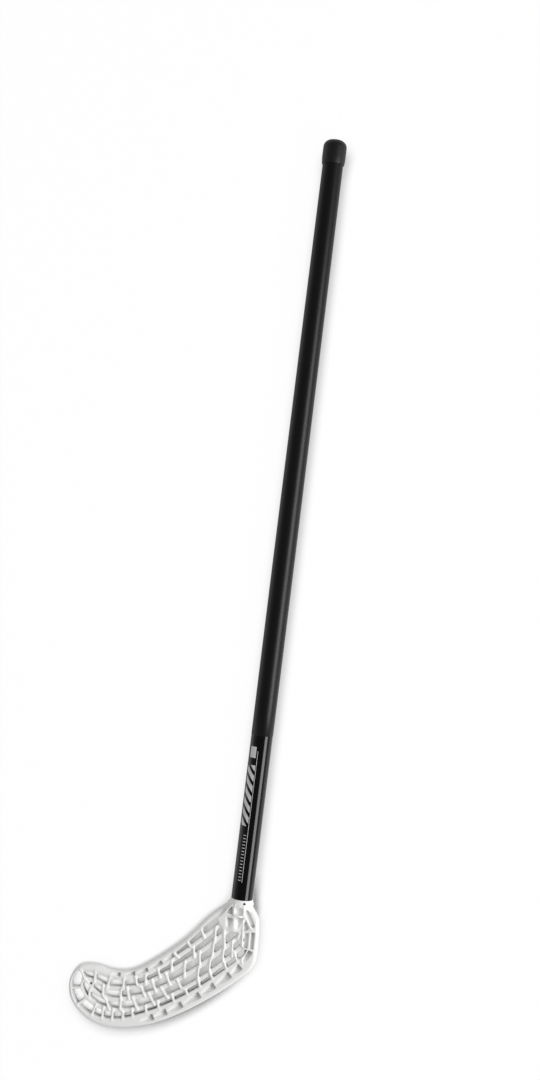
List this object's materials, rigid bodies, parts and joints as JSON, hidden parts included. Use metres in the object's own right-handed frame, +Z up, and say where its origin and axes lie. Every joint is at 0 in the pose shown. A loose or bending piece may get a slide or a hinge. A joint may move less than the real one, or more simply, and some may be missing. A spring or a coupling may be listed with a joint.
{
  "type": "floorball stick",
  "caption": "Floorball stick: tapered hollow tube with satin grip sleeve and glossy printed film, rubber end cap, and a hooked openwork plastic blade on a ribbed peg held by a lock screw.",
  "frame": {"origin": "on the floor under the middle of the stick's box, as the stick lies on its back", "axes": "+Y along the tube from the blade to the end cap, the blade's toe towards -X, +Z up from the floor through the blade's face"},
  "size_m": [0.2298, 1.1344, 0.0293],
  "materials": {
    "tube": "satin fibre composite",
    "sleeve": "satin black",
    "film": "glossy black with a plain silver pattern",
    "cap": "satin black rubber",
    "blade": "white moulded plastic, semi-gloss",
    "screw": "black oxide"
  },
  "bodies": {
    "stick": {"shaft_tube": "tube", "grip_sleeve": "sleeve", "printed_film": "film", "blade": "blade", "lock_screw": "screw"},
    "cap": {"end_cap": "cap"}
  },
  "joints": [
    {"name": "cap_pull", "type": "slide", "parent": "stick", "child": "cap", "axis": [0, 1, 0], "range_m": [0, 0.034]}
  ]
}
